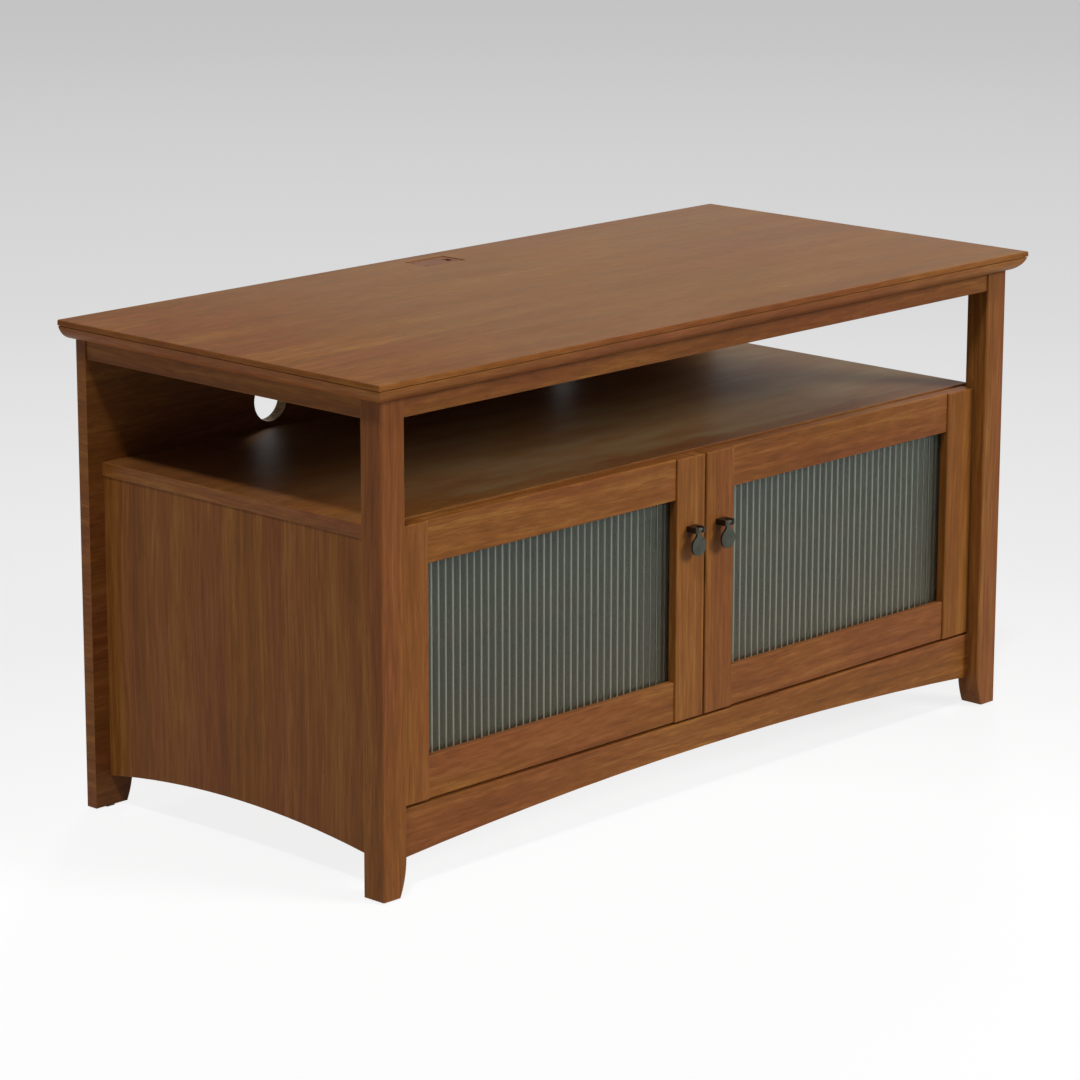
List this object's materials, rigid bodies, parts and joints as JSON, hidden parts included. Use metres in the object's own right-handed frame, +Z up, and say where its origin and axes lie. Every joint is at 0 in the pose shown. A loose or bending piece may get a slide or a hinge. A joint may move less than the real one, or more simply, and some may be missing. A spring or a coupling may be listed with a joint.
{
  "type": "tv stand",
  "caption": "TV stand with a moulded top on posts, an open media bay, and a cabinet below with reeded-glass doors on concealed hinges, drop pulls and arched rails.",
  "frame": {"origin": "on the floor under the middle of the top", "axes": "+X to the right along the length, +Y to the back, +Z up; the doors face -Y"},
  "size_m": [1.067, 0.497, 0.553],
  "materials": {
    "cherry_laminate": "satin cherry laminate",
    "reeded_glass": "vertically reeded",
    "dark_bronze": "dark bronze",
    "nickel_steel": "nickel plated",
    "brown_plastic": "moulded",
    "black_plastic": "moulded"
  },
  "bodies": {
    "stand": {"top_panel": "cherry_laminate", "left_post": "cherry_laminate", "right_post": "cherry_laminate", "back_panel": "cherry_laminate", "left_side_panel": "cherry_laminate", "right_side_panel": "cherry_laminate", "front_apron": "cherry_laminate", "left_apron": "cherry_laminate", "right_apron": "cherry_laminate", "media_shelf": "cherry_laminate", "bottom_panel": "cherry_laminate", "arched_rail": "cherry_laminate", "centre_divider": "cherry_laminate", "left_inner_shelf": "cherry_laminate", "right_inner_shelf": "cherry_laminate", "cable_insert_frame": "brown_plastic", "cable_insert_cover": "brown_plastic", "shelf_pins": "nickel_steel", "top_brackets": "nickel_steel", "foot_glides": "black_plastic", "left_hinge_arms": "nickel_steel", "left_magnetic_catch": "black_plastic", "right_hinge_arms": "nickel_steel", "right_magnetic_catch": "black_plastic"},
    "left_door": {"left_door_hinge_stile": "cherry_laminate", "left_door_meeting_stile": "cherry_laminate", "left_door_top_rail": "cherry_laminate", "left_door_bottom_rail": "cherry_laminate", "left_door_glass": "reeded_glass", "left_glass_clips": "black_plastic", "left_hinge_cups": "nickel_steel", "left_hinge_pins": "nickel_steel", "left_strike_plate": "nickel_steel", "left_pull_post": "dark_bronze", "left_pull_pin": "dark_bronze"},
    "left_pendant": {"left_pull_pendant": "dark_bronze"},
    "right_door": {"right_door_hinge_stile": "cherry_laminate", "right_door_meeting_stile": "cherry_laminate", "right_door_top_rail": "cherry_laminate", "right_door_bottom_rail": "cherry_laminate", "right_door_glass": "reeded_glass", "right_glass_clips": "black_plastic", "right_hinge_cups": "nickel_steel", "right_hinge_pins": "nickel_steel", "right_strike_plate": "nickel_steel", "right_pull_post": "dark_bronze", "right_pull_pin": "dark_bronze"},
    "right_pendant": {"right_pull_pendant": "dark_bronze"}
  },
  "joints": [
    {"name": "left_door_hinge", "type": "hinge", "parent": "stand", "child": "left_door", "pos_m": [-0.4705, -0.2078, 0.24175], "axis": [0, 0, -1], "range_deg": [0, 95]},
    {"name": "left_pendant_hinge", "type": "hinge", "parent": "left_door", "child": "left_pendant", "pos_m": [-0.0245, -0.2264, 0.311], "axis": [1, 0, 0], "range_deg": [-80, 18]},
    {"name": "right_door_hinge", "type": "hinge", "parent": "stand", "child": "right_door", "pos_m": [0.4705, -0.2078, 0.24175], "axis": [0, 0, 1], "range_deg": [0, 95]},
    {"name": "right_pendant_hinge", "type": "hinge", "parent": "right_door", "child": "right_pendant", "pos_m": [0.0245, -0.2264, 0.311], "axis": [1, 0, 0], "range_deg": [-80, 18]}
  ]
}
